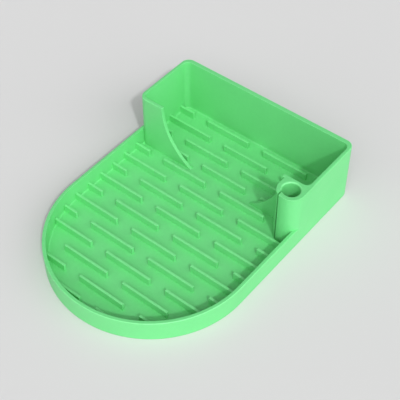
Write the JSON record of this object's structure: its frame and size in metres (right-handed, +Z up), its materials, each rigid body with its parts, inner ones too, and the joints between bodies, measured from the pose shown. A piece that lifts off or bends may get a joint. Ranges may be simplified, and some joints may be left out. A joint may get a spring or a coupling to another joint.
{
  "type": "tumbler drying rack",
  "caption": "Low D-shaped drip tray with a round front, staggered drain bars, an upright box open at its front along the back, and a slit upright tube for a straw.",
  "frame": {"origin": "on the surface the rack stands on, under the middle of its outline", "axes": "+Z up, the straight back faces +Y, the round front faces -Y, and the straw tube is on the +X side"},
  "size_m": [0.12, 0.164, 0.0386],
  "materials": {
    "green_plastic": "satin"
  },
  "bodies": {
    "root": {"tray_floor": "green_plastic", "low_rim": "green_plastic", "back_wall": "green_plastic", "left_side_wall": "green_plastic", "right_side_wall": "green_plastic", "left_wing": "green_plastic", "right_wing": "green_plastic", "straw_holder": "green_plastic", "drain_bar_01_left_2": "green_plastic", "drain_bar_01_left_1": "green_plastic", "drain_bar_01_right_1": "green_plastic", "drain_bar_01_right_2": "green_plastic", "drain_bar_02_left_1": "green_plastic", "drain_bar_02_middle": "green_plastic", "drain_bar_02_right_1": "green_plastic", "drain_bar_03_left_2": "green_plastic", "drain_bar_03_left_1": "green_plastic", "drain_bar_03_right_1": "green_plastic", "drain_bar_03_right_2": "green_plastic", "drain_bar_04_left_1": "green_plastic", "drain_bar_04_middle": "green_plastic", "drain_bar_04_right_1": "green_plastic", "drain_bar_05_left_2": "green_plastic", "drain_bar_05_left_1": "green_plastic", "drain_bar_05_right_1": "green_plastic", "drain_bar_06_left_1": "green_plastic", "drain_bar_06_middle": "green_plastic", "drain_bar_06_right_1": "green_plastic", "drain_bar_07_left_2": "green_plastic", "drain_bar_07_left_1": "green_plastic", "drain_bar_07_right_1": "green_plastic", "drain_bar_07_right_2": "green_plastic", "drain_bar_08_left_1": "green_plastic", "drain_bar_08_middle": "green_plastic", "drain_bar_08_right_1": "green_plastic", "drain_bar_09_left_2": "green_plastic", "drain_bar_09_left_1": "green_plastic", "drain_bar_09_right_1": "green_plastic", "drain_bar_09_right_2": "green_plastic", "drain_bar_10_left_1": "green_plastic", "drain_bar_10_middle": "green_plastic", "drain_bar_10_right_1": "green_plastic", "drain_bar_11_left_2": "green_plastic", "drain_bar_11_left_1": "green_plastic", "drain_bar_11_right_1": "green_plastic", "drain_bar_11_right_2": "green_plastic", "drain_bar_12_left_1": "green_plastic", "drain_bar_12_middle": "green_plastic", "drain_bar_12_right_1": "green_plastic", "drain_bar_13_left_1": "green_plastic", "drain_bar_13_right_1": "green_plastic", "drain_bar_14_left_1": "green_plastic", "drain_bar_14_middle": "green_plastic", "drain_bar_14_right_1": "green_plastic", "drain_bar_15_left_1": "green_plastic", "drain_bar_15_right_1": "green_plastic"}
  },
  "joints": []
}
